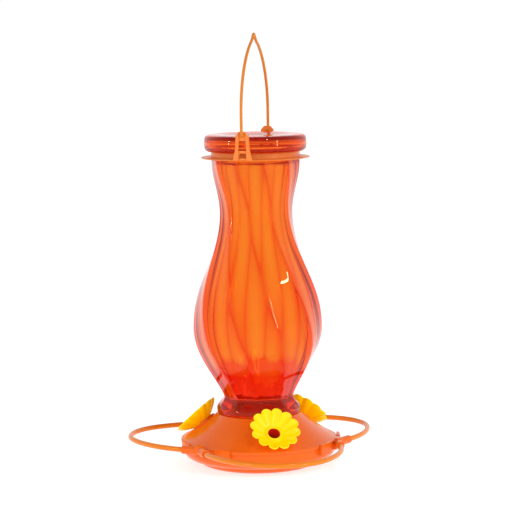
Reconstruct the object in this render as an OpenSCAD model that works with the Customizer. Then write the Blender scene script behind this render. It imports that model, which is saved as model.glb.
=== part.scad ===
// Hanging nectar feeder for orioles: a twisted, panelled glass bottle stands neck down in a round
// base with three flower ports and three wide perch loops, and hangs from a wire bail.
// Millimetres, +Z up. The origin is on the bottle's axis, at the underside of the tray.

/* [Tray] */
// Radius of the flat foot that the feeder stands on
foot_r = 43; // [38:1:46]
// Outer radius of the tray's wall at the rim
tray_r = 60; // [57:0.5:63]
// Height of the tray's rim above the foot
tray_h = 18.3; // [16:0.1:22]
// Wall and floor thickness of the tray
tray_wall = 2; // [1.6:0.1:2.4]
// Radius of the round corner between the foot and the sloping wall
foot_round = 5; // [3:0.5:6]
// Height of the upright lip at the top of the sloping wall
lip_h = 5; // [4:0.5:7]

/* [Tray clips] */
// Width of a clip tongue around the rim
clip_w = 13; // [9:0.5:15]
// Thickness of a clip tongue
clip_t = 1.8; // [1.4:0.1:2.4]
// Height of a clip tongue above the rim
clip_rise = 4; // [3:0.5:6]
// Angle between a flower and the clips on its two sides
clip_angle = 41; // [36:0.5:43]

/* [Perches] */
// Distance from the feeder's axis to the tip of a perch
perch_reach = 104.7; // [98:0.5:112]
// Half width of the loop where it leaves its sockets
perch_half_w = 53.3; // [51:0.1:55]
// Distance from the feeder's axis to the mouths of a loop's two sockets
socket_mouth = 46; // [44:0.5:49]
// Inward lean of the loop's two ends
toe_in = 8; // [6:0.5:10]
// Radius of the loop's round tip
tip_bend_r = 42; // [39:0.5:44]
// Diameter of the perch rod
perch_d = 4; // [3.4:0.1:4.4]
// Height of the perch above the foot
perch_z = 19.3; // [18:0.1:22]
// Diameter of the plug at each end of a perch
plug_d = 3.4; // [2.8:0.1:3.4]
// Length of the plug inside its socket
plug_len = 11; // [8:0.5:12]
// Outer diameter of a perch socket
socket_d = 6.4; // [5.8:0.1:7.2]
// Length of a perch socket from the corner boss
socket_len = 15; // [13:0.5:17]

/* [Base cover] */
// Overhang of the cover's flange, which lies on the tray's rim, past the rim
flange_over = 1.5; // [1:0.1:3]
// Thickness of the cover's flange
flange_t = 3; // [2.4:0.1:3.6]
// Height of the cover's top ring above its flange
dome_rise = 19.7; // [18:0.1:21]
// Outer radius of the cover's top ring
dome_top_r = 32.5; // [31.5:0.1:34]
// Hollow of the cover's sloping side below a straight cone
dome_sag = 1.2; // [0:0.1:2]
// Wall thickness of the cover
cover_wall = 2; // [1.6:0.1:2.4]
// Depth of the skirt that locates the cover inside the tray
skirt_h = 3.5; // [2.5:0.5:5]
// Radius of the socket that takes the bottle's neck
socket_r = 27.9; // [27.6:0.1:28.6]
// Inner radius of the feed spout under the socket
spout_r = 18; // [15:0.5:19]
// Height of the spout's lower end above the foot
spout_z = 6; // [5:0.5:9]
// Width and height of a feed notch in the spout's end
feed_notch = 5; // [4:0.5:6]
// Number of feed notches
feed_notches = 4; // [3:1:6]

/* [Flowers] */
// Radius of a flower at its petal tips
flower_r = 19.5; // [18:0.1:21]
// Number of petals
petals = 12; // [10:1:14]
// Radius of a petal's round tip
petal_r = 4.2; // [4:0.1:4.8]
// Depth of the flower's dish, from the rim to the floor
dish_depth = 7; // [6:0.5:8]
// Thickness of the moulded petals
petal_t = 1.5; // [1.2:0.1:1.8]
// Diameter of the feeding hole
hole_d = 9.5; // [8.5:0.1:10.5]
// Outer diameter of the flower's tube, which plugs into the cover
tube_d = 12; // [11.8:0.1:13]
// Length of the flower's tube behind the dish
tube_len = 8; // [7:0.5:9]
// Height of the boss in the cover behind a flower
boss_h = 6; // [5:0.5:6.5]
// Distance from the feeder's axis to the middle of a flower's floor
flower_dist = 47.3; // [46.5:0.1:48.5]
// Height of the cover's top ring above the middle of a flower's floor
flower_drop = 9; // [8.5:0.05:9.5]
// Tilt of a flower's face above the horizontal
flower_tilt = 47; // [44:1:50]

/* [Bottle] */
// Length of the threaded neck finish, from the lip to the bead
finish_len = 9.8; // [9:0.1:11]
// Outer radius of the neck finish
finish_r = 26.6; // [26.2:0.1:26.8]
// Radius of the bead round the neck
bead_r = 32.8; // [31:0.1:33.5]
// Height of the flare from the bead's underside to the neck's waist
flare_h = 13.7; // [12:0.1:15]
// Radius of the neck's waist
neck_r = 28; // [27.4:0.1:29]
// Radius of the belly on its ridges
belly_r = 50.3; // [47:0.1:53]
// Height from the neck's waist to the belly
belly_h = 52.8; // [48:0.1:57]
// Slimness of the curve from the neck to the belly
belly_curve = 1.24; // [1.1:0.02:1.5]
// Radius of the upper waist on its ridges
waist_r = 28.4; // [27.5:0.1:31]
// Height from the belly to the upper waist
waist_h = 91.5; // [86:0.5:98]
// Fullness of the curve from the belly to the upper waist
waist_curve = 1.1; // [0.9:0.02:1.2]
// Radius of the shoulder under the collar
shoulder_r = 34.5; // [34:0.1:36]
// Height from the upper waist to the shoulder
shoulder_h = 41; // [37:0.5:44]
// Number of twisted panels round the body
panels = 10; // [8:1:12]
// Depth of a panel's middle below the ridges, as a share of the radius
panel_dip = 0.036; // [0.02:0.002:0.048]
// Height above the neck's waist over which the panels deepen
panel_run = 28; // [16:1:40]
// Turn of the ridges in degrees for each millimetre of height
ridge_pitch = 0.335; // [0.2:0.005:0.45]
// Azimuth of the first ridge at the shoulder, from the front flower
ridge_start = -3.3; // [-18:0.1:18]
// Glass thickness of the body behind the middle of a panel
glass_t = 2; // [1.6:0.1:2.6]
// Radius of the glass heel, the bottle's foot, which is on top here
heel_r = 40; // [39:0.1:40.4]
// Height of the heel
heel_h = 13.2; // [12:0.1:15]
// Radius of the heel's round edges
heel_round = 3; // [2:0.1:3.5]
// Glass thickness of the heel
heel_t = 3.4; // [2.8:0.1:4]
// Depth of the hollow in the middle of the heel's outer face
punt_depth = 2.2; // [1:0.1:3]
// Radius of that hollow
punt_r = 31; // [26:0.5:34]
// Radius of the groove that holds the collar
groove_r = 32; // [31:0.1:32.4]
// Height of the groove
groove_h = 6; // [5.6:0.1:7]

/* [Seal] */
// Thickness of the soft washer under the bottle's lip
seal_t = 2; // [1.5:0.1:2.5]
// Inner radius of the washer
seal_r = 20.5; // [20:0.5:22]

/* [Hanger] */
// Wall of the collar's band
band_t = 2.2; // [1.8:0.1:2.6]
// Radius of the collar's thin flange
collar_flange_r = 42.4; // [41.8:0.1:43]
// Thickness of the collar's flange at its root
collar_flange_t = 2.2; // [1.8:0.1:2.6]
// Thickness of an ear's plate
ear_t = 1.2; // [1:0.1:1.3]
// Width of an ear at the flange
ear_w = 15; // [13:0.5:17]
// Width of an ear at its pivot
ear_top_w = 10; // [9:0.5:11]
// Height of an ear above its pivot
ear_tip = 3.2; // [2.8:0.1:4]
// Height of the pivot above the heel
pivot_rise = 0.6; // [0.2:0.1:2]
// Width of an ear's two side ribs
rib_w = 2.4; // [1.8:0.1:2.8]
// Turn of the collar on the bottle, from the front flower
hanger_turn = -27.4; // [-60:0.1:60]
// Diameter of the bail's wire
wire_d = 2.3; // [2:0.1:2.6]
// Diameter of the pins at the wire's two ends
pin_d = 2.2; // [1.8:0.05:2.2]
// Height of the bail's straight legs
leg_h = 15.6; // [12:0.1:20]
// Radius of the bail's two large bows
bow_r = 60; // [57:0.5:61]
// Radius of the reversed bends below the tip
ogee_r = 26; // [22:1:34]
// Radius of the bend at the tip
tip_r = 2.2; // [2:0.1:3]
// Height of the tip's bend above the pivots
tip_h = 74; // [73.5:0.5:78]
// Radius of the bend at the foot of each leg
foot_bend_r = 2; // [1.8:0.1:2.4]

/* [Fits] */
// Gap between pieces that turn or lift past each other
gap = 0.3; // [0.2:0.05:0.4]
// Radial play of a pin or plug in its hole
play = 0.05; // [0.03:0.01:0.08]

/* [Hidden] */
$fn = 96;
bite = 1;          // overlap of a shape with the one it grows from
round_steps = 8;   // straight steps in a curved outline
dome_steps = 5;    // straight steps in the cover's sloping side
petal_steps = 8;   // straight steps in a petal's round tip
stations = 3;      // each a flower port and a perch loop
step_angle = 360 / stations;
station = [for (i = [0:stations - 1]) i * step_angle];

shoulder_dip = 0.35; // share of the panels' full depth at the shoulder
shoulder_run = 9;    // height over which they deepen below the shoulder
flange_r = tray_r + flange_over;

// Heights, each from the piece below it
cover_top_z = tray_h + flange_t + dome_rise;
bead_z = cover_top_z + gap;
lip_z = bead_z - finish_len;
seal_z = lip_z - seal_t;
neck_z = bead_z + flare_h;
belly_z = neck_z + belly_h;
waist_z = belly_z + waist_h;
shoulder_z = waist_z + shoulder_h;
heel_z = shoulder_z + groove_h;
bottle_top_z = heel_z + heel_h;
pivot_z = bottle_top_z + pivot_rise;
collar_z = shoulder_z + gap;
collar_top_z = heel_z - gap;

// Perch loop: an arc for each side and one for the tip, meeting in line
perch_side_x = perch_reach - tip_bend_r - socket_mouth;
perch_side_r = (pow(perch_side_x, 2) + pow(perch_half_w, 2) - pow(tip_bend_r, 2))
  / (2 * (perch_half_w * cos(toe_in) - perch_side_x * sin(toe_in) - tip_bend_r));
side_centre = [socket_mouth - perch_side_r * sin(toe_in), perch_half_w - perch_side_r * cos(toe_in)];
tip_centre = [perch_reach - tip_bend_r, 0];
// Angle from straight out, at the tip's centre, where a side arc meets the tip's arc
perch_join = atan2(tip_centre[1] - side_centre[1], tip_centre[0] - side_centre[0]);

// Ear and bail, seen along the swing's axis: distances out from the bottle's axis
ear_in = heel_r + gap + 0.1;
ear_out = ear_in + ear_t;
rib_out = ear_out + 0.8;
leg_x = rib_out + gap + wire_d / 2;
bow_centre = [leg_x - bow_r, leg_h];
tip_bend_c = [0, tip_h];
ogee_reach = norm(tip_bend_c - bow_centre);
ogee_lean = atan2(tip_bend_c[1] - bow_centre[1], tip_bend_c[0] - bow_centre[0]);
ogee_side = acos((pow(ogee_reach, 2) + pow(bow_r + ogee_r, 2) - pow(tip_r + ogee_r, 2))
  / (2 * ogee_reach * (bow_r + ogee_r)));
bow_end = ogee_lean - ogee_side;
ogee_centre = bow_centre + (bow_r + ogee_r) * [cos(bow_end), sin(bow_end)];
tip_end = atan2(ogee_centre[1] - tip_h, ogee_centre[0]);

// Height of the middle of a flower's floor
flower_z = cover_top_z - flower_drop;

function ease(t) = (1 - cos(180 * t)) / 2;

// Radius of the bottle's ridges at height z: neck to belly, belly to waist, waist to shoulder
function ridge_r(z) =
  z < belly_z ? neck_r + (belly_r - neck_r) * pow(sin(90 * max(0, z - neck_z) / belly_h), belly_curve)
  : z < waist_z ? belly_r + (waist_r - belly_r) * ease(pow((z - belly_z) / waist_h, waist_curve))
  : waist_r + (shoulder_r - waist_r) * ease(min(1, (z - waist_z) / shoulder_h));

// Share of the panels' full depth: they run out towards the neck and grow shallow at the shoulder
function dip_share(z) = min(ease(min(1, max(0, z - neck_z) / panel_run)),
  shoulder_dip + (1 - shoulder_dip) * ease(min(1, (shoulder_z - z) / shoulder_run)));

// Azimuth of the first ridge at height z
function ridge_turn(z) = ridge_start + ridge_pitch * (shoulder_z - z);

// Dip of a flat panel at an angle past a ridge, from 0 on the ridge to 1 in the panel's middle
function dip(past) =
  let (half = 180 / panels, off = past - 2 * half * floor(past / (2 * half)))
  (1 - cos(half) / cos(off - half)) / (1 - cos(half));

// Radius of the body at height z and an angle past a ridge: panels that meet in twisted ridges
function body_r(z, past) = ridge_r(z) * (1 - panel_dip * dip_share(z) * dip(past));

function glass_r(z) = ridge_r(z) * (1 - panel_dip * dip_share(z)) - glass_t;

// Quarter curve after its first point, level at the start and upright at the end
function quarter(from, to) =
  [for (i = [1:round_steps]) let (t = 90 * i / round_steps)
    [from[0] + (to[0] - from[0]) * sin(t), from[1] + (to[1] - from[1]) * (1 - cos(t))]];

// Turns its children to each station's azimuth; azimuth 0 is the front, -Y
module at_station(azimuth) {
  rotate([0, 0, azimuth - 90]) children();
}

// Round band in section, with its outer edges rounded
module rounded_section(r_in, r_out, z_low, z_high, edge) {
  translate([r_in, z_low]) square([r_out - edge - r_in, z_high - z_low]);
  translate([r_in, z_low + edge]) square([r_out - r_in, z_high - z_low - 2 * edge]);
  for (z = [z_low + edge, z_high - edge])
    translate([r_out - edge, z]) circle(r = edge);
}

// Points along an arc, and the same points mirrored in Y or X and read backwards
function arc(centre, radius, from, to, steps) =
  [for (i = [0:steps]) let (t = from + (to - from) * i / steps) centre + radius * [cos(t), sin(t)]];
function mirror_y(path) = [for (i = [len(path) - 1:-1:0]) [path[i][0], -path[i][1]]];
function mirror_x(path) = [for (i = [len(path) - 1:-1:0]) [-path[i][0], path[i][1]]];

// Round rod along a path in the plane of X and Y: a ring of points across each point of the path
module bent_rod(path, rod_d, sides) {
  last = len(path) - 1;
  points = [for (k = [0:last])
    let (along = path[min(last, k + 1)] - path[max(0, k - 1)], across = [-along[1], along[0]] / norm(along))
    for (j = [0:sides - 1]) let (t = 360 * (j + 0.5) / sides, r = rod_d / 2)
      [path[k][0] + across[0] * r * cos(t), path[k][1] + across[1] * r * cos(t), r * sin(t)]];
  walls = [for (k = [0:last - 1], j = [0:sides - 1])
    let (near = k * sides, far = near + sides, next = (j + 1) % sides)
    each [[near + j, far + next, near + next], [near + j, far + j, far + next]]];
  caps = [[for (j = [0:sides - 1]) j], [for (j = [sides - 1:-1:0]) last * sides + j]];
  polyhedron(points, concat(walls, caps));
}

// Direction and place of a station's two perch sockets; side is 1 or -1
module at_socket(side) {
  translate([socket_mouth, side * perch_half_w, perch_z])
    rotate([0, 0, -side * toe_in]) rotate([0, 90, 0]) children();
}

module tray_bowl() {
  wall_low = tray_h - lip_h;
  rotate_extrude() difference() {
    polygon(concat(
      [[0, 0], [foot_r - foot_round, 0]],
      quarter([foot_r - foot_round, 0], [foot_r + foot_round, foot_round]),
      quarter([foot_r + foot_round, foot_round], [tray_r, wall_low]),
      [[tray_r, tray_h], [0, tray_h]]));
    polygon(concat(
      [[0, tray_wall], [foot_r - foot_round, tray_wall]],
      quarter([foot_r - foot_round, tray_wall], [foot_r + foot_round - tray_wall, foot_round + tray_wall]),
      quarter([foot_r + foot_round - tray_wall, foot_round + tray_wall], [tray_r - tray_wall, wall_low + 1]),
      [[tray_r - tray_wall, tray_h + bite], [0, tray_h + bite]]));
  }
}

// Tongue that stands outside the cover's flange, on a ledge of the tray's wall
module clip() {
  tongue_in = flange_r + gap;
  tongue_out = tongue_in + clip_t;
  ledge_z = tray_h - lip_h + 0.5;
  intersection() {
    rotate_extrude() {
      translate([tray_r - tray_wall / 2, ledge_z])
        square([tongue_out - tray_r + tray_wall / 2, tray_h - ledge_z]);
      translate([tongue_in, ledge_z]) square([clip_t, tray_h + clip_rise - ledge_z]);
    }
    translate([tray_r - bite, -clip_w / 2, 0]) cube([2 * tray_wall + clip_t + flange_t, clip_w, 2 * tray_h]);
  }
}

// The two sockets and the boss at a corner, halfway between two flowers, clear of the cover's flange
module corner() {
  boss_r = (socket_d + 1.6) / 2;
  root = [socket_mouth - socket_len * cos(toe_in), perch_half_w + socket_len * sin(toe_in)];
  boss_low = perch_z - socket_d / 2 - 0.6;
  wall_in = tray_r - tray_wall / 2;
  difference() {
    union() {
      for (side = [-1, 1]) rotate([0, 0, side * step_angle / 2])
        at_socket(-side) translate([0, 0, -socket_len]) cylinder(d = socket_d, h = socket_len);
      translate([norm(root), 0, boss_low]) cylinder(r = boss_r, h = socket_d + 1.2);
      translate([wall_in, -boss_r, boss_low - 1.5]) cube([norm(root) - wall_in, 2 * boss_r, tray_h - boss_low + 1.5]);
    }
    translate([0, 0, tray_h]) cylinder(r = flange_r + gap, h = 2 * tray_h);
    for (side = [-1, 1]) rotate([0, 0, side * step_angle / 2])
      at_socket(-side) translate([0, 0, -plug_len - gap]) cylinder(d = plug_d + 2 * play, h = plug_len + bite);
  }
}

module tray() {
  color("orangered") {
    tray_bowl();
    for (azimuth = station) {
      at_station(azimuth + step_angle / 2) corner();
      for (side = [-1, 1]) at_station(azimuth + side * clip_angle) clip();
    }
  }
}

// Loop with a plug at each end, in the station's own direction
module perch(azimuth) {
  side_path = arc(side_centre, perch_side_r, 90 - toe_in, perch_join, 10);
  tip_path = arc(tip_centre, tip_bend_r, perch_join, -perch_join, 16);
  path = concat(side_path, [for (i = [1:len(tip_path) - 2]) tip_path[i]], mirror_y(side_path));
  color("orange") at_station(azimuth) {
    translate([0, 0, perch_z]) bent_rod(path, perch_d, 16);
    for (side = [-1, 1]) at_socket(side) translate([0, 0, -plug_len]) cylinder(d = plug_d, h = plug_len + bite);
  }
}

// Height of the cover's outside at radius r
function dome_z(r) =
  let (t = (r - dome_top_r) / (tray_r - dome_top_r))
  cover_top_z - t * dome_rise - dome_sag * 4 * t * (1 - t);

module flower_place(azimuth) {
  at_station(azimuth) translate([flower_dist, 0, flower_z]) rotate([0, 90 - flower_tilt, 0]) children();
}

module base_cover() {
  skirt_r = tray_r - tray_wall - gap;
  dome = [for (i = [0:dome_steps]) let (r = dome_top_r + (tray_r - dome_top_r) * i / dome_steps)
    [r, dome_z(r)]];
  drop = cover_wall * 1.25;
  dome_in = [for (i = [dome_steps:-1:0]) dome[i] - [0.5, drop]];
  seat_r = tube_d / 2 + 4;
  seat_z = -petal_t - gap;
  color("darkorange") difference() {
    union() {
      rotate_extrude() {
        polygon(concat(dome, [[tray_r, tray_h + flange_t - drop]], dome_in,
          [[socket_r, cover_top_z - drop], [socket_r, cover_top_z]]));
        rounded_section(skirt_r - cover_wall, flange_r, tray_h, tray_h + flange_t, 1.2);
        translate([skirt_r - cover_wall, tray_h - skirt_h]) square([cover_wall, skirt_h + bite]);
        translate([socket_r, seal_z - cover_wall]) square([cover_wall, cover_top_z - seal_z]);
        translate([spout_r, seal_z - cover_wall]) square([socket_r - spout_r + bite, cover_wall]);
        translate([spout_r, spout_z]) square([cover_wall, seal_z - spout_z]);
      }
      // Boss behind each flower
      for (azimuth = station) flower_place(azimuth)
        translate([0, 0, seat_z - boss_h]) cylinder(r = seat_r + 1, h = boss_h);
    }
    // Level seat and hole for each flower
    for (azimuth = station) flower_place(azimuth) {
      translate([0, 0, seat_z]) cylinder(r = seat_r, h = tube_len);
      translate([0, 0, -tube_len - 5]) cylinder(d = tube_d + 2 * play, h = tube_len + 5);
    }
    for (i = [0:feed_notches - 1]) rotate([0, 0, 45 + 360 * i / feed_notches])
      translate([spout_r - bite, -feed_notch / 2, spout_z - bite])
        cube([cover_wall + 2 * bite, feed_notch, feed_notch + bite]);
  }
}

// Outline of the petals: an arc for each round tip, ending where it meets the next petal's
function petal_outline() =
  let (half = 180 / petals, dist = flower_r - petal_r,
    notch_r = dist * cos(half) + sqrt(pow(petal_r, 2) - pow(dist * sin(half), 2)),
    reach = atan2(notch_r * sin(half), notch_r * cos(half) - dist))
  [for (i = [0:petals - 1], k = [0:petal_steps - 1])
    let (turn = (2 * i + 1) * half, t = reach * (2 * k / petal_steps - 1))
    [dist * cos(turn) + petal_r * cos(turn + t), dist * sin(turn) + petal_r * sin(turn + t)]];

// Dish of petals round a feeding tube; its floor's middle is at the origin and it faces +Z
module flower(azimuth) {
  floor_r = tube_d / 2 + 1.4;
  color("gold") flower_place(azimuth) difference() {
    union() {
      intersection() {
        rotate_extrude() polygon(concat(
          [[0, 0], [0, -petal_t], [floor_r, -petal_t]],
          [for (i = [1:round_steps]) let (t = i / round_steps)
            [floor_r + (flower_r - floor_r) * t, dish_depth * pow(t, 1.15) - petal_t]],
          [for (i = [round_steps:-1:0]) let (t = i / round_steps)
            [floor_r - 0.8 + (flower_r - floor_r) * t, dish_depth * pow(t, 1.15)]]));
        translate([0, 0, -2 * petal_t]) linear_extrude(dish_depth + 4 * petal_t) polygon(petal_outline());
      }
      translate([0, 0, -tube_len]) cylinder(d = tube_d, h = tube_len);
      cylinder(d = hole_d + 2.6, h = 1.2);
    }
    translate([0, 0, -tube_len - bite]) cylinder(d = hole_d, h = tube_len + 10);
  }
}

module bottle_seal() {
  color("dimgray") translate([0, 0, seal_z]) difference() {
    cylinder(r = socket_r - gap, h = seal_t);
    translate([0, 0, -bite]) cylinder(r = seal_r, h = seal_t + 2 * bite);
  }
}

// Twisted body of the bottle: rings of points that turn with the ridges, joined by triangles
module panelled_body() {
  sides = 6 * panels;
  rings = 36;
  low = neck_z - bite;
  height = shoulder_z - low;
  points = [for (i = [0:rings], j = [0:sides - 1])
    let (z = low + height * i / rings, past = 360 * j / sides, r = body_r(z, past), a = past + ridge_turn(z))
    [r * sin(a), -r * cos(a), z]];
  walls = [for (i = [0:rings - 1], j = [0:sides - 1])
    let (near = i * sides, far = near + sides, next = (j + 1) % sides)
    each [[near + j, far + j, far + next], [near + j, far + next, near + next]]];
  caps = [[for (j = [0:sides - 1]) j], [for (j = [sides - 1:-1:0]) rings * sides + j]];
  polyhedron(points, concat(walls, caps));
}

// Neck and bead, from the lip up to the waist
module neck_section() {
  bead_round = 1.4;
  bead_h = 4;
  step = 0.12;
  polygon(concat(
    [[0, lip_z], [finish_r, lip_z], [finish_r, bead_z], [bead_r - bead_round, bead_z]],
    quarter([bead_r - bead_round, bead_z], [bead_r, bead_z + bead_round]),
    [[bead_r, bead_z + bead_h]],
    [for (i = [1:round_steps]) let (t = i / round_steps)
      [bead_r + (neck_r + step - bead_r) * ease(t), bead_z + bead_h + (flare_h - bead_h) * t]],
    [[0, neck_z]]));
}

// Hollow of the bottle, from the lip to the inside of the heel
module bottle_hollow_section() {
  steps = 26;
  height = shoulder_z - neck_z;
  neck_in = neck_r - 3.4;
  heel_in = heel_r - heel_t;
  top = bottle_top_z - heel_t;
  polygon(concat(
    [[0, lip_z - bite], [neck_in, lip_z - bite], [neck_in, neck_z]],
    [for (i = [1:steps]) let (z = neck_z + height * i / (steps + 1)) [max(neck_in, glass_r(z)), z]],
    [[groove_r - heel_t, shoulder_z], [groove_r - heel_t, heel_z + 1], [heel_in - 2, heel_z + heel_t]],
    quarter([heel_in - 2, heel_z + heel_t], [heel_in, heel_z + heel_t + 2]),
    [[heel_in, top - 2], [heel_in - 2, top], [punt_r - heel_t, top], [0, top - punt_depth]]));
}

// Shallow hollow in the middle of the heel's outer face
module punt_section() {
  polygon(concat([[0, bottle_top_z + bite], [0, bottle_top_z - punt_depth]],
    quarter([0, bottle_top_z - punt_depth], [punt_r, bottle_top_z]), [[punt_r, bottle_top_z + bite]]));
}

module bottle() {
  color("darkorange", 0.6) difference() {
    union() {
      panelled_body();
      rotate_extrude() neck_section();
      rotate_extrude() {
        translate([0, shoulder_z - 4]) square([groove_r, groove_h + 5]);
        rounded_section(0, heel_r, heel_z, bottle_top_z, heel_round);
      }
    }
    rotate_extrude() bottle_hollow_section();
    rotate_extrude() punt_section();
  }
}

// Outline of an ear, standing on the flange, with X across it and Y up
module ear_outline(low) {
  polygon([[-ear_w / 2, low], [ear_w / 2, low], [ear_top_w / 2 + 0.6, low + 8], [ear_top_w / 2, pivot_z + 0.3],
    [ear_top_w / 2 - 2.6, pivot_z + ear_tip], [2.6 - ear_top_w / 2, pivot_z + ear_tip],
    [-ear_top_w / 2, pivot_z + 0.3], [-ear_top_w / 2 - 0.6, low + 8]]);
}

// Space between an ear's side ribs
module rib_inside(low, high) {
  half = ear_top_w / 2 - rib_w;
  polygon([[-half - 0.6, low], [half + 0.6, low], [half, high], [-half, high]]);
}

// Curved plate of an ear: the part of a tube wall that an outline cuts out
module ear_plate(r_in, r_out) {
  intersection() {
    difference() {
      cylinder(r = r_out, h = 2 * pivot_z);
      translate([0, 0, -bite]) cylinder(r = r_in, h = 2 * pivot_z + 2 * bite);
    }
    rotate([90, 0, 0]) linear_extrude(r_out + bite) children();
  }
}

module ear() {
  low = collar_z + collar_flange_t / 2;
  bar_z = collar_top_z + 1;
  difference() {
    union() {
      ear_plate(ear_in, ear_out) ear_outline(low);
      ear_plate(ear_out - 0.2, rib_out) difference() {
        ear_outline(low);
        rib_inside(low - bite, pivot_z + ear_tip + bite);
      }
    }
    // Windows above and below the cross bar
    ear_plate(ear_in - bite, rib_out + bite) {
      rib_inside(bar_z + 2, pivot_z - 3.6);
      rib_inside(collar_z + collar_flange_t + 0.4, bar_z);
    }
    translate([0, 0, pivot_z]) rotate([90, 0, 0]) cylinder(d = pin_d + 2 * play, h = rib_out + bite);
  }
}

module hanger_collar() {
  band_in = groove_r + gap;
  color("sandybrown") rotate([0, 0, hanger_turn]) {
    rotate_extrude() {
      translate([band_in, collar_z]) square([band_t, collar_top_z - collar_z]);
      polygon([[band_in, collar_z], [collar_flange_r - 0.4, collar_z + 0.5], [collar_flange_r, collar_z + 0.9],
        [collar_flange_r - 0.4, collar_z + 1.3], [band_in, collar_z + collar_flange_t]]);
    }
    for (turn = [0, 180]) rotate([0, 0, turn]) ear();
  }
}

// The bail, with X along the swing's axis and Y up from the pivots
module bail() {
  pin_start = leg_x - foot_bend_r;
  pin_end = ear_in - 0.7;
  half = concat(
    [[pin_start - 0.2, 0]],
    arc([pin_start, foot_bend_r], foot_bend_r, -90, 0, 6),
    arc(bow_centre, bow_r, 0, bow_end, 18),
    arc(ogee_centre, ogee_r, bow_end + 180, tip_end + 180, 6),
    [for (p = arc(tip_bend_c, tip_r, tip_end, 90, 6)) if (p[0] > 0.01) p]);
  bent_rod(concat(half, mirror_x(half)), wire_d, 14);
  for (turn = [0, 180]) rotate([0, turn, 0])
    translate([pin_end, 0, 0]) rotate([0, 90, 0]) cylinder(d = pin_d, h = pin_start - pin_end + bite);
}

module bail_wire() {
  color("peru") rotate([0, 0, hanger_turn]) translate([0, 0, pivot_z]) rotate([0, 0, 90]) rotate([90, 0, 0]) bail();
}

tray();
perch(station[0]);  // perch_front
perch(station[1]);  // perch_right
perch(station[2]);  // perch_left
base_cover();
flower(station[0]);  // flower_front
flower(station[1]);  // flower_right
flower(station[2]);  // flower_left
bottle_seal();
bottle();
hanger_collar();
bail_wire();
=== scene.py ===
"""Looks of a hanging nectar feeder: twisted orange glass bottle, moulded base, flower ports, wire bail.

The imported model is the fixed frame. Lengths here are in millimetres and turn into metres when a mesh is
made. Azimuth 0 is the front, -Y, and grows towards +X.
"""

import bpy
import numpy as np
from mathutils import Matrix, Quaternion, Vector


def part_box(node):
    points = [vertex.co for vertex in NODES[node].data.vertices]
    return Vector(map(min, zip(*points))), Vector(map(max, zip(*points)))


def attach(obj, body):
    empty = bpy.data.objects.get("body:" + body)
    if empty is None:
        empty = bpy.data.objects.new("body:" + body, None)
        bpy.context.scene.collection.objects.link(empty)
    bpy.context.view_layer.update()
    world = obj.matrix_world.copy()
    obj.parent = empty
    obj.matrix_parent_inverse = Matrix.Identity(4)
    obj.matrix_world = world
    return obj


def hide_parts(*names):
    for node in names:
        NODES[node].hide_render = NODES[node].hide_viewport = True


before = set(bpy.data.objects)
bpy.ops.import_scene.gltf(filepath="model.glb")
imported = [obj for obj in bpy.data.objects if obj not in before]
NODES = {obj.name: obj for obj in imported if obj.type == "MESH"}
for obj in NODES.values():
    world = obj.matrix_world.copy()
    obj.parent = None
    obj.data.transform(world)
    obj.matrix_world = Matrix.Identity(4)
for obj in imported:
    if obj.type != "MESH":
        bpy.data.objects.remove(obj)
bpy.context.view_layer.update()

MM = 0.001
STATIONS = {"front": 0, "right": 120, "left": 240}


def cad_z(node):
    """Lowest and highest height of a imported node, in millimetres."""
    low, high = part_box(node)
    return low.z / MM, high.z / MM


# The bottle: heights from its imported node, radii on the ridges, panels and their twist
LIP_Z, BOTTLE_TOP = cad_z("bottle")
FINISH_LEN, FLARE_H, BEAD_H, BELLY_H, WAIST_H, SHOULDER_H, GROOVE_H = 9.8, 13.7, 4.0, 52.8, 91.5, 41.0, 6.0
BEAD_Z = LIP_Z + FINISH_LEN
NECK_Z = BEAD_Z + FLARE_H
BELLY_Z = NECK_Z + BELLY_H
WAIST_Z = BELLY_Z + WAIST_H
SHOULDER_Z = WAIST_Z + SHOULDER_H
HEEL_Z = SHOULDER_Z + GROOVE_H
FINISH_R, BEAD_R, NECK_R, BELLY_R, WAIST_R, SHOULDER_R = 26.6, 32.8, 28.0, 50.3, 28.4, 34.5
GROOVE_R, HEEL_R, PUNT_R, PUNT_DEPTH = 32.0, 40.0, 31.0, 2.2
GLASS_T, HEEL_T = 2.0, 3.4
NECK_BORE_R = NECK_R - 3.4
POLE_R = 1.5                              # the rings nearest the axis; a fan closes each end
PANELS, RIDGE_PITCH, RIDGE_START = 10, 0.335, -3.3
HALF_PANEL = np.pi / PANELS
INNER_SHARE = 0.1                         # how much of the panels' form the inner skin has
THREAD_PITCH, THREAD_H = 4.0, 0.95
SIDES_PER_PANEL = 18
PIVOT_Z = BOTTLE_TOP + 0.6


# Meshes from grids of points

def ring_quads(rings, sides, closed):
    """Faces between neighbouring rings of points; with closed, the last ring joins the first."""
    row = np.arange(rings if closed else rings - 1)[:, None] * sides
    up = (row + sides) % (rings * sides)
    col = np.arange(sides)[None, :]
    nxt = (col + 1) % sides
    return np.stack([row + col, row + nxt, up + nxt, up + col], axis=-1).reshape(-1, 4)


def fan(pole, ring):
    """Triangles from one point to a ring of points."""
    return np.stack([np.full(len(ring), pole), ring, np.roll(ring, -1)], axis=-1)


def outward(points, quads, tris):
    """The faces, turned round if the volume that they close comes out negative."""
    volume = 0.0
    for a, b, c in [(quads[:, 0], quads[:, 1], quads[:, 2]), (quads[:, 0], quads[:, 2], quads[:, 3])] + (
            [(tris[:, 0], tris[:, 1], tris[:, 2])] if len(tris) else []):
        volume += np.einsum("ij,ij->i", points[a], np.cross(points[b], points[c])).sum()
    return (quads, tris) if volume > 0 else (quads[:, ::-1], tris[:, ::-1])


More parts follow.
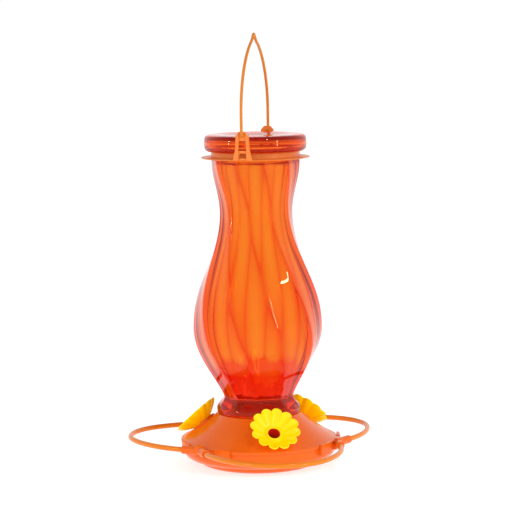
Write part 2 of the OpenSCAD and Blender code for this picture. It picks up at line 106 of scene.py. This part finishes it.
def ring_mesh(name, rings, closed=False, poles=None):
    """A smooth closed piece from rings of points in millimetres; poles are the points that close its ends."""
    count, sides = rings.shape[:2]
    points = rings.reshape(-1, 3)
    quads, tris = ring_quads(count, sides, closed), np.zeros((0, 3), int)
    if poles is not None:
        first, last = np.arange(sides), np.arange(sides) + (count - 1) * sides
        tris = np.concatenate([fan(len(points), first)[:, ::-1], fan(len(points) + 1, last)])
        points = np.concatenate([points, np.asarray(poles, float)])
    quads, tris = outward(points, quads, tris)
    mesh = bpy.data.meshes.new(name)
    mesh.from_pydata((points * MM).tolist(), [], quads.tolist() + tris.tolist())
    mesh.polygons.foreach_set("use_smooth", np.ones(len(mesh.polygons), bool))
    mesh.update()
    piece = bpy.data.objects.new(name, mesh)
    bpy.context.scene.collection.objects.link(piece)
    return piece


def dress(piece, material, body, slot, *nodes):
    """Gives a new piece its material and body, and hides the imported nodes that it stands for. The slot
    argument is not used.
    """
    piece.data.materials.append(material)
    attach(piece, body)
    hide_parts(*nodes)
    return piece


def ease(t):
    """Smooth rise from 0 to 1, level at both ends."""
    return (1 - np.cos(np.pi * np.clip(t, 0, 1))) / 2


def filleted(corners, steps=6):
    """Outline of (r, z) points: each corner (r, z, radius) becomes an arc of that radius, with even steps."""
    out = []
    corners = [np.asarray(c, float) for c in corners]
    for i, corner in enumerate(corners):
        p, radius = corner[:2], corner[2]
        if i in (0, len(corners) - 1) or radius <= 0:
            out.append(p[None])
            continue
        u, v = corners[i - 1][:2] - p, corners[i + 1][:2] - p
        room = min(np.linalg.norm(u), np.linalg.norm(v)) * 0.499
        u, v = u / np.linalg.norm(u), v / np.linalg.norm(v)
        half = np.arccos(np.clip(u @ v, -1, 1)) / 2
        reach = min(radius / np.tan(half), room)
        centre = p + (u + v) / np.linalg.norm(u + v) * reach / np.cos(half)
        radius = reach * np.tan(half)
        a, b = p + u * reach - centre, p + v * reach - centre
        turn = np.arctan2(a[0] * b[1] - a[1] * b[0], a @ b)
        t = np.linspace(0, turn, steps + 1)[:, None]
        side = np.array([-a[1], a[0]])
        out.append(centre + np.cos(t) * a + np.sin(t) * side)
    return np.concatenate(out)


def densified(outline, longest):
    """The outline with extra points, so that no stretch of it is longer than that."""
    out = []
    for p, q in zip(outline[:-1], outline[1:]):
        n = max(1, int(np.ceil(np.linalg.norm(q - p) / longest)))
        out.append(p + (q - p) * np.arange(n)[:, None] / n)
    return np.concatenate(out + [outline[-1:]])


# Glass bottle

def ridge_r(z):
    """Radius on the ridges: a sine power from neck to belly, then two eased stretches to waist and shoulder."""
    rise = NECK_R + (BELLY_R - NECK_R) * np.sin(np.pi / 2 * np.clip((z - NECK_Z) / BELLY_H, 0, 1)) ** 1.24
    fall = BELLY_R + (WAIST_R - BELLY_R) * ease(np.clip((z - BELLY_Z) / WAIST_H, 0, 1) ** 1.1)
    top = WAIST_R + (SHOULDER_R - WAIST_R) * ease((z - WAIST_Z) / SHOULDER_H)
    return np.where(z < BELLY_Z, rise, np.where(z < WAIST_Z, fall, top))


def ridge_turn(z):
    """Azimuth of the first ridge in radians, an even twist from the shoulder down."""
    return np.radians(RIDGE_START + RIDGE_PITCH * (SHOULDER_Z - z))


def off_ridge(past):
    """Signed angle from the nearest ridge, from the angle past the first one."""
    return np.mod(past + HALF_PANEL, 2 * HALF_PANEL) - HALF_PANEL


def panel_form(past, soft=0.03):
    """Polar radius of flat panels, 1 on a ridge: the cosine rule of a flat side, with the distance from the
    ridge kept above a small angle, which rounds the ridge."""
    scale = HALF_PANEL / np.hypot(HALF_PANEL, soft)
    off = np.hypot(off_ridge(past), soft) * scale
    return np.cos(HALF_PANEL - soft * scale) / np.cos(HALF_PANEL - off)


def panel_share(z):
    """Share of the panels' form: whole on the body, fading out on the flare above the bead."""
    return ease((z - BEAD_Z - BEAD_H) / 6) * (z < SHOULDER_Z - 0.5)


def ridge_azimuths():
    """Angles past the first ridge, close together near each ridge and wider in the panels' middles."""
    u = np.arange(PANELS * SIDES_PER_PANEL) * 2 / SIDES_PER_PANEL
    return HALF_PANEL * (u - 0.6 * np.sin(np.pi * u) / np.pi)


def thread_rise(z, azimuth):
    """Height of the screw thread on the finish: one round-topped rib that climbs a pitch each turn and runs
    out near the lip and the bead."""
    turns = (z - LIP_Z - 1.6) / THREAD_PITCH + azimuth / (2 * np.pi)
    rib = np.clip(np.cos(2 * np.pi * turns) * 1.6 - 0.55, 0, 1)
    return THREAD_H * rib * ease((z - LIP_Z - 1.2) / 0.8) * ease((BEAD_Z - 1.4 - z) / 0.8)


def outer_outline():
    """Outer skin from near the heel's middle, over groove, body and bead, down to the lip and into it."""
    top = BOTTLE_TOP
    push_up = [[r, top - PUNT_DEPTH * (1 - (r / PUNT_R) ** 2) ** 1.5] for r in np.linspace(POLE_R, PUNT_R, 12)]
    heel = filleted([[PUNT_R, top, 0], [PUNT_R + 2.5, top, 3], [HEEL_R - 0.5, top - 0.5, 4.5],
                     [HEEL_R, HEEL_Z + 5, 20], [HEEL_R - 0.8, HEEL_Z + 0.3, 3.5], [GROOVE_R, HEEL_Z, 1.2],
                     [GROOVE_R, SHOULDER_Z, 1.0], [SHOULDER_R - 0.2, SHOULDER_Z - 0.2, 1.0],
                     [SHOULDER_R, SHOULDER_Z - 1.6, 0]], 8)
    body_z = np.linspace(SHOULDER_Z - 2, NECK_Z + 0.5, 118)
    body = np.stack([ridge_r(body_z), body_z], axis=-1)
    t = np.linspace(0, 1, 14)
    flare = np.stack([NECK_R + (BEAD_R - NECK_R) * ease(t), NECK_Z - (FLARE_H - BEAD_H) * t], axis=-1)
    finish = filleted([flare[-1].tolist() + [0], [BEAD_R, BEAD_Z, 1.8], [FINISH_R, BEAD_Z, 0.4],
                       [FINISH_R, LIP_Z, 1.0], [NECK_BORE_R, LIP_Z, 1.0], [NECK_BORE_R, LIP_Z + 4, 0]], 8)
    return np.concatenate([densified(np.concatenate([np.array(push_up), heel, body, flare]), 1.6)[:-1],
                           densified(finish, 0.8)])


def inner_outline():
    """Inner skin from the lip's bore up to near the heel's middle. Its radius follows the panels' middles, so
    that the glass is thicker at the ridges."""
    z = np.linspace(LIP_Z + 5, SHOULDER_Z - 3.5, 106)
    flat = 1 - (1 - np.cos(HALF_PANEL)) * ease((z - NECK_Z) / 12) * (1 - INNER_SHARE)
    body = np.stack([np.maximum(NECK_BORE_R, ridge_r(np.maximum(z, NECK_Z)) * flat - GLASS_T), z], axis=-1)
    top, groove_r, heel_r = BOTTLE_TOP - HEEL_T, GROOVE_R - GLASS_T, HEEL_R - HEEL_T
    cap = filleted([body[-1].tolist() + [0], [groove_r, SHOULDER_Z, 3], [groove_r, HEEL_Z, 2],
                    [heel_r, HEEL_Z + 4, 3], [heel_r, top, 5], [24, top - 0.6, 8],
                    [POLE_R, top - PUNT_DEPTH, 0]], 8)
    return densified(np.concatenate([body, cap[1:]]), 2.2)


def painted_shade_share(z, past):
    """Share of painted red shade on the skin: a line on each ridge, the low end down to the bead where the red
    base shows through, and the heel's upper edge.
    """
    off = off_ridge(past)
    # painted shade: a dark red line along each ridge
    line = 0.45 * np.exp(-(off / 0.05) ** 2) + 0.15 * np.exp(-(off / 0.16) ** 2)
    # painted shade: red on the low end down to the bead, where the red base shows through, and on the heel's
    # upper edge
    ends = ease((NECK_Z + 27 - z) / 9) * (z > NECK_Z - 4) + 0.25 * ease((z - HEEL_Z - 7) / 2)
    return np.clip(line[None, :] * panel_share(z)[:, None] + ends[:, None], 0, 1)


def glass_bottle(material):
    """Outer skin down to the lip, then the inner skin back up: one closed surface whose rings turn with the
    ridges. A point attribute holds the share of painted red shade at each point."""
    outer = outer_outline()
    r, z = np.concatenate([outer, inner_outline()]).T
    outside = np.arange(len(r)) < len(outer)
    inner_share = INNER_SHARE * ease((z - NECK_Z) / 12) * ease((SHOULDER_Z - z) / 9)
    share = np.where(outside, panel_share(z), inner_share)
    past = ridge_azimuths()
    a = past[None, :] + ridge_turn(z)[:, None]
    radius = r[:, None] * (1 - share[:, None] * (1 - panel_form(past))[None, :])
    on_finish = outside & (z < BEAD_Z - 0.5) & (r > FINISH_R - 0.2)
    radius += on_finish[:, None] * thread_rise(z[:, None], a)
    rings = np.stack([radius * np.sin(a), -radius * np.cos(a), np.broadcast_to(z[:, None], a.shape)], axis=-1)
    pole_z = BOTTLE_TOP - PUNT_DEPTH
    piece = ring_mesh("glass_bottle", rings, poles=[[0, 0, pole_z], [0, 0, pole_z - HEEL_T]])
    # painted red shade: the share of red painted at each point, kept as a point attribute
    painted_red_shade = piece.data.attributes.new("painted_red_shade", "FLOAT", "POINT")
    painted_shade_blend = painted_shade_share(z, past) * outside[:, None]
    painted_red_shade.data.foreach_set("value", np.concatenate([painted_shade_blend.ravel(), [0, 0]]))
    return dress(piece, material, "bottle", "bottle_glass", "bottle")


# Flowers

def flower_dish(name, azimuth, material, throat):
    """Cupped flower: a closed surface along a profile that runs up the bore, over the raised rim, out across
    the dish to the petals' tips, round their edge and back underneath to the tube. The petals' outline is an
    arc for each tip, and each petal is hollowed between its raised edges. The bore wears the throat's colour."""
    tip_r, petal_r, petals, thick, edge_r = 19.5, 4.2, 12, 1.5, 0.75
    bore_r, tube_r, tube_len, rim_h, dish = 4.75, 6.0, 8.0, 1.3, 7.0
    dist, tilt = 47.3, 47.0
    flower_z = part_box("base_cover")[1].z / MM - 9.0
    sides = petals * 24
    a = np.arange(sides) * 2 * np.pi / sides
    half = np.pi / petals
    off = np.mod(a, 2 * half) - half
    centre = tip_r - petal_r
    outline = centre * np.cos(off) + np.sqrt(np.maximum(petal_r ** 2 - (centre * np.sin(off)) ** 2, 0.01))
    edge = outline - edge_r
    across = np.cos(np.pi * off / (2 * half))

    def dish_z(t):
        return dish * np.clip(t, 0, 1) ** 1.15

    floor_r = tube_r + 1.4
    rings = []

    def ring(radius, height):
        grid = np.broadcast_arrays(radius * np.cos(a), radius * np.sin(a), height + 0 * a)
        rings.append(np.stack(grid, axis=-1))

    for r, z in filleted([[tube_r - 0.3, -tube_len, 0], [bore_r, -tube_len, 0.3], [bore_r, rim_h, 0.5],
                          [bore_r + 1.5, rim_h, 0.6], [bore_r + 2.1, 0.05, 0.5], [floor_r + 0.2, 0.1, 0]], 5):
        ring(r, z)
    for t in np.linspace(0.06, 1, 16):
        lip = 0.55 * ease((t - 0.82) / 0.18)
        hollow = 0.9 * ease((t - 0.25) / 0.4) * (0.5 - across) * (1 - 0.6 * ease((t - 0.85) / 0.15))
        ring(floor_r + (edge - floor_r) * t, dish_z(t) + lip + hollow * 0.5)
    for t in np.linspace(20, 160, 6):
        turn = np.radians(t)
        ring(edge + edge_r * np.sin(turn), dish_z(1) - 0.1 + 0.65 * np.cos(turn))
    for t in np.linspace(1, 0.06, 12):
        ring(floor_r + (edge - floor_r) * t, dish_z(t) - thick + 0.3 * ease((t - 0.8) / 0.2)
             - 0.4 * ease((t - 0.25) / 0.4) * (across - 0.5) * (t < 0.95))
    for r, z in filleted([[floor_r + 0.1, -thick, 0], [tube_r, -thick, 0.4], [tube_r, -tube_len, 0.4],
                          [tube_r - 0.3, -tube_len, 0]], 4)[:-1]:
        ring(r, z)
    points = np.stack(rings)
    lean = np.radians(90 - tilt)
    tilted = np.stack([points[..., 0] * np.cos(lean) + points[..., 2] * np.sin(lean) + dist, points[..., 1],
                       points[..., 2] * np.cos(lean) - points[..., 0] * np.sin(lean) + flower_z], axis=-1)
    piece = ring_mesh("petals_" + name, turned(tilted, azimuth - 90), closed=True)
    dress(piece, material, "cover", "flower_plastic", "flower_" + name)
    piece.data.materials.append(throat)
    x, y, z = points[:-1, 0].T
    in_bore = (z < rim_h - 0.7) & (np.hypot(x, y) < bore_r + 0.2)
    index = np.zeros((len(points), len(a)), np.int32)
    index[:-1][in_bore] = 1
    piece.data.polygons.foreach_set("material_index", index.ravel())
    return piece


# Bent rods

def arc(centre, radius, start, end, steps):
    """Points along an arc in a plane, from one angle in degrees to another."""
    t = np.radians(np.linspace(start, end, steps + 1))
    return np.stack([centre[0] + radius * np.cos(t), centre[1] + radius * np.sin(t)], axis=-1)


def rod_rings(path, radii, sides):
    """Rings across a path in the plane of X and Y, with a radius at each point."""
    along = np.gradient(path, axis=0)
    across = np.stack([-along[:, 1], along[:, 0]], axis=-1) / np.linalg.norm(along, axis=1)[:, None]
    t = np.arange(sides) * 2 * np.pi / sides
    flat = path[:, None, :] + across[:, None, :] * (radii[:, None] * np.cos(t))[:, :, None]
    return np.concatenate([flat, (radii[:, None] * np.sin(t))[:, :, None]], axis=-1)


def turned(points, degrees):
    """Points turned about Z."""
    c, s = np.cos(np.radians(degrees)), np.sin(np.radians(degrees))
    return np.stack([c * points[..., 0] - s * points[..., 1], s * points[..., 0] + c * points[..., 1],
                     points[..., 2]], axis=-1)


def perch_rod(name, azimuth, material):
    """Loop from socket to socket: a side arc, the tip's arc and the side again, with a thinner plug at each
    end."""
    reach, half_w, mouth, toe, tip_r, z = 104.7, 53.3, 46.0, 8.0, 42.0, 19.3
    rod_r, plug_r, plug_len = 2.0, 1.7, 11.0
    side_x = reach - tip_r - mouth
    c, s = np.cos(np.radians(toe)), np.sin(np.radians(toe))
    side_r = (side_x ** 2 + half_w ** 2 - tip_r ** 2) / (2 * (half_w * c - side_x * s - tip_r))
    centre = np.array([mouth - side_r * s, half_w - side_r * c])
    tip = np.array([reach - tip_r, 0.0])
    join = np.degrees(np.arctan2(tip[1] - centre[1], tip[0] - centre[0]))
    side = arc(centre, side_r, 90 - toe, join, 40)
    plug_dir = np.array([-c, s])
    depth = np.array([plug_len, plug_len - 0.3, plug_len * 0.5, 0.25, 0.2])
    plug = side[0] + depth[:, None] * plug_dir
    plug_radii = np.array([plug_r - 0.4, plug_r, plug_r, plug_r, rod_r - 0.25])
    half = np.concatenate([plug, side[1:], arc(tip, tip_r, join, 0, 40)[1:]])
    radii = np.concatenate([plug_radii, np.full(len(half) - len(plug), rod_r)])
    radii[len(plug)] = rod_r
    path = np.concatenate([half, half[-2::-1] * [1, -1]])
    radii = np.concatenate([radii, radii[-2::-1]])
    rings = turned(rod_rings(path, radii, 28), azimuth - 90)
    rings[..., 2] += z
    poles = [rings[0].mean(axis=0), rings[-1].mean(axis=0)]
    piece = ring_mesh("perch_rod_" + name, rings, poles=poles)
    return dress(piece, material, "tray", "perch_plastic", "perch_" + name)


def bail(material):
    """Wire bail in one plane: pin, foot bend, leg, bow, reversed bend and pointed tip, then all of it
    mirrored."""
    leg_x, leg_h, bow_r, ogee_r, tip_r, tip_h = 43.85, 15.6, 60.0, 26.0, 2.2, 74.0
    bend, wire_r, pin_r, pin_end, turn = 2.0, 1.15, 1.1, 39.7, -27.4
    bow = np.array([leg_x - bow_r, leg_h])
    top = np.array([0.0, tip_h])
    gap = np.linalg.norm(top - bow)
    lean = np.degrees(np.arctan2(top[1] - bow[1], top[0] - bow[0]))
    far, near = bow_r + ogee_r, tip_r + ogee_r
    bow_end = lean - np.degrees(np.arccos((gap ** 2 + far ** 2 - near ** 2) / (2 * gap * far)))
    ogee = bow + far * np.array([np.cos(np.radians(bow_end)), np.sin(np.radians(bow_end))])
    tip_end = np.degrees(np.arctan2(ogee[1] - tip_h, ogee[0]))
    pin = np.array([[pin_end, 0], [pin_end + 0.2, 0], [leg_x - bend - 0.8, 0], [leg_x - bend - 0.5, 0]], float)
    half = np.concatenate([pin, arc([leg_x - bend, bend], bend, -90, 0, 10),
                           arc(bow, bow_r, 0, bow_end, 60)[1:],
                           arc(ogee, ogee_r, bow_end + 180, tip_end + 180, 16)[1:],
                           arc(top, tip_r, tip_end, 90, 10)[1:]])
    radii = np.full(len(half), wire_r)
    radii[:3] = [pin_r - 0.25, pin_r, pin_r]
    path = np.concatenate([half, half[-2::-1] * [-1, 1]])
    radii = np.concatenate([radii, radii[-2::-1]])
    flat = rod_rings(path, radii, 24)
    upright = np.stack([flat[..., 2], flat[..., 0], flat[..., 1]], axis=-1)
    rings = turned(upright, turn)
    rings[..., 2] += PIVOT_Z
    poles = [rings[0].mean(axis=0), rings[-1].mean(axis=0)]
    piece = ring_mesh("bail_rod", rings, poles=poles)
    return dress(piece, material, "bail", "bail_wire", "bail_wire")


# Materials

def shader(name, color, **sockets):
    """A principled material; keys with underscores name its sockets."""
    material = bpy.data.materials.new(name)
    material.use_nodes = True
    surface = material.node_tree.nodes["Principled BSDF"]
    surface.inputs["Base Color"].default_value = (*color, 1)
    for key, value in sockets.items():
        surface.inputs[key.replace("_", " ")].default_value = value
    return material, surface


def orange_glass():
    """Clear orange glass: an amber tint on the surface that a point attribute blends towards a painted red
    shade, a depth of colour that grows with thickness, and a faint painted red glow for the light that the walls
    pass on."""
    amber, painted_shade_tint = (0.84, 0.67, 0.25), (0.74, 0.045, 0.05)
    material, surface = shader("orange_glass", amber, Roughness=0.0, IOR=1.5, Transmission_Weight=1.0)
    surface.inputs["Specular Tint"].default_value = (1.0, 0.5, 0.25, 1)
    # painted glow: a faint red emission for light that the walls pass on
    surface.inputs["Emission Color"].default_value = (1.0, 0.03, 0.02, 1)
    surface.inputs["Emission Strength"].default_value = 0.05
    tree = material.node_tree
    # painted red shade: the point attribute blends the amber surface towards red
    painted_red_shade = tree.nodes.new("ShaderNodeAttribute")
    painted_red_shade.attribute_name = "painted_red_shade"
    painted_shade_blend = tree.nodes.new("ShaderNodeMix")
    painted_shade_blend.data_type = "RGBA"
    painted_shade_blend.inputs[6].default_value = (*amber, 1)
    painted_shade_blend.inputs[7].default_value = (*painted_shade_tint, 1)
    tree.links.new(painted_red_shade.outputs["Fac"], painted_shade_blend.inputs[0])
    tree.links.new(painted_shade_blend.outputs[2], surface.inputs["Base Color"])
    depth = tree.nodes.new("ShaderNodeVolumeAbsorption")
    depth.inputs["Color"].default_value = (0.988, 0.6, 0.1, 1)
    depth.inputs["Density"].default_value = 500
    output = tree.nodes["Material Output"]
    tree.links.new(depth.outputs["Volume"], output.inputs["Volume"])
    return material


def moulded(name, color, dark, roughness, grain, painted_glow=0.0):
    """Moulded plastic: two tones blended by slow noise, with a warm gleam and a faint skin of fine bumps. The
    painted glow is an emission in the plastic's own colour that stands for the light that comes through thin
    walls."""
    material, surface = shader(name, color, Roughness=roughness, IOR=1.45)
    surface.inputs["Specular Tint"].default_value = (1.0, 0.72, 0.5, 1)
    surface.inputs["Emission Color"].default_value = (*color, 1)
    # painted glow: emission in the plastic's own colour
    surface.inputs["Emission Strength"].default_value = painted_glow
    tree = material.node_tree
    place = tree.nodes.new("ShaderNodeTexCoord")
    slow = tree.nodes.new("ShaderNodeTexNoise")
    slow.inputs["Scale"].default_value = 18
    slow.inputs["Detail"].default_value = 2
    tone = tree.nodes.new("ShaderNodeMix")
    tone.data_type = "RGBA"
    tone.inputs[6].default_value = (*dark, 1)
    tone.inputs[7].default_value = (*color, 1)
    fine = tree.nodes.new("ShaderNodeTexNoise")
    fine.inputs["Scale"].default_value = grain
    bump = tree.nodes.new("ShaderNodeBump")
    bump.inputs["Strength"].default_value = 0.08
    bump.inputs["Distance"].default_value = 0.0004
    tree.links.new(place.outputs["Object"], slow.inputs["Vector"])
    tree.links.new(place.outputs["Object"], fine.inputs["Vector"])
    tree.links.new(slow.outputs["Fac"], tone.inputs[0])
    tree.links.new(tone.outputs[2], surface.inputs["Base Color"])
    tree.links.new(fine.outputs["Fac"], bump.inputs["Height"])
    tree.links.new(bump.outputs["Normal"], surface.inputs["Normal"])
    return material


def wear(node, material):
    """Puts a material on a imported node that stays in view."""
    slots = NODES[node].data.materials
    slots.clear()
    slots.append(material)


# Camera, lights and floor

def look_at_feeder():
    """Camera at the photograph's angle: distance and lens from the fit of the perches and flowers."""
    azimuth, pitch, roll, distance, lens = -13.7, 6.67, 0.8, 1.6715, 150.7
    aim_z, axis_left = 0.1641, -0.0006
    a, e = np.radians(azimuth), np.radians(pitch)
    back = Vector((np.sin(a) * np.cos(e), -np.cos(a) * np.cos(e), np.sin(e)))
    right = Vector((np.cos(a), np.sin(a), 0))
    data = bpy.data.cameras.new("camera")
    data.lens, data.sensor_width = lens, 36
    camera = bpy.data.objects.new("camera", data)
    bpy.context.scene.collection.objects.link(camera)
    camera.rotation_mode = "QUATERNION"
    camera.location = Vector((0, 0, aim_z)) + right * axis_left + back * distance
    camera.rotation_quaternion = back.to_track_quat("Z", "Y") @ Quaternion((0, 0, 1), -np.radians(roll))
    bpy.context.scene.camera = camera


def soft_box(name, azimuth, distance, middle, wide, tall, watts, rise=0.12):
    """A rectangular soft box, aimed at the feeder's axis at the height middle; rise is the slope to it."""
    data = bpy.data.lights.new(name, "AREA")
    data.shape, data.size, data.size_y, data.energy = "RECTANGLE", wide, tall, watts
    light = bpy.data.objects.new(name, data)
    bpy.context.scene.collection.objects.link(light)
    a = np.radians(azimuth)
    away = Vector((np.sin(a), -np.cos(a), rise)).normalized()
    light.location = Vector((0, 0, middle)) + away * distance
    light.rotation_mode = "QUATERNION"
    light.rotation_quaternion = away.to_track_quat("Z", "Y")


def studio():
    """White surroundings that grow grey overhead, three soft boxes and a pale floor."""
    world = bpy.data.worlds.new("studio")
    world.use_nodes = True
    tree = world.node_tree
    place = tree.nodes.new("ShaderNodeTexCoord")
    split = tree.nodes.new("ShaderNodeSeparateXYZ")
    fall = tree.nodes.new("ShaderNodeMapRange")
    fall.interpolation_type = "SMOOTHSTEP"
    for key, value in {"From Min": 0.35, "From Max": 0.85, "To Min": 1.02, "To Max": 0.45}.items():
        fall.inputs[key].default_value = value
    tree.links.new(place.outputs["Generated"], split.inputs[0])
    tree.links.new(split.outputs["Z"], fall.inputs["Value"])
    tree.links.new(fall.outputs["Result"], tree.nodes["Background"].inputs["Strength"])
    tree.nodes["Background"].inputs["Color"].default_value = (1, 1, 1, 1)
    bpy.context.scene.world = world
    soft_box("soft_box_right", azimuth=36, distance=1.5, middle=0.32, wide=0.03, tall=0.7, watts=4.5)
    soft_box("soft_box_left", azimuth=-74, distance=1.5, middle=0.32, wide=0.03, tall=0.5, watts=3)
    soft_box("soft_box_high", azimuth=16, distance=1.2, middle=0.06, wide=0.12, tall=0.1, watts=2.2, rise=1.05)
    size = 6.0
    mesh = bpy.data.meshes.new("floor")
    corners = [(-size, -size, 0), (size, -size, 0), (size, size, 0), (-size, size, 0)]
    mesh.from_pydata(corners, [], [(0, 1, 2, 3)])
    floor = bpy.data.objects.new("floor", mesh)
    bpy.context.scene.collection.objects.link(floor)
    material, surface = shader("pale_floor", (0.6, 0.6, 0.6), Roughness=0.9)
    surface.inputs["Emission Color"].default_value = (1, 1, 1, 1)
    surface.inputs["Emission Strength"].default_value = 0.68
    floor.data.materials.append(material)


look_at_feeder()
studio()
bpy.context.scene.view_settings.view_transform = "Standard"

# the last number is a painted glow for the base, the petals and the throat
base_orange = moulded("base_orange", (0.82, 0.135, 0.006), (0.77, 0.11, 0.005), 0.22, 900, 0.05)
perch_orange = moulded("perch_orange", (0.82, 0.22, 0.01), (0.78, 0.19, 0.008), 0.22, 900)
petal_yellow = moulded("petal_yellow", (1.0, 0.7, 0.0), (1.0, 0.62, 0.0), 0.22, 900, 0.16)
throat_red = moulded("throat_red", (0.7, 0.02, 0.01), (0.6, 0.015, 0.01), 0.3, 900, 0.12)
collar_orange = moulded("collar_orange", (0.8, 0.22, 0.04), (0.76, 0.18, 0.03), 0.3, 900)
wire_coat = moulded("wire_coat", (0.66, 0.2, 0.015), (0.58, 0.16, 0.012), 0.35, 1500)
washer_rubber = moulded("washer_rubber", (0.5, 0.47, 0.43), (0.45, 0.42, 0.38), 0.7, 1500)

for node, material, slot in [
        ("tray", base_orange, "base_plastic"), ("base_cover", base_orange, "base_plastic"),
        ("bottle_seal", washer_rubber, "seal_rubber"), ("hanger_collar", collar_orange, "collar_plastic")]:
    wear(node, material)

glass_bottle(orange_glass())
for name, azimuth in STATIONS.items():
    flower_dish(name, azimuth, petal_yellow, throat_red)
    perch_rod(name, azimuth, perch_orange)
bail(wire_coat)
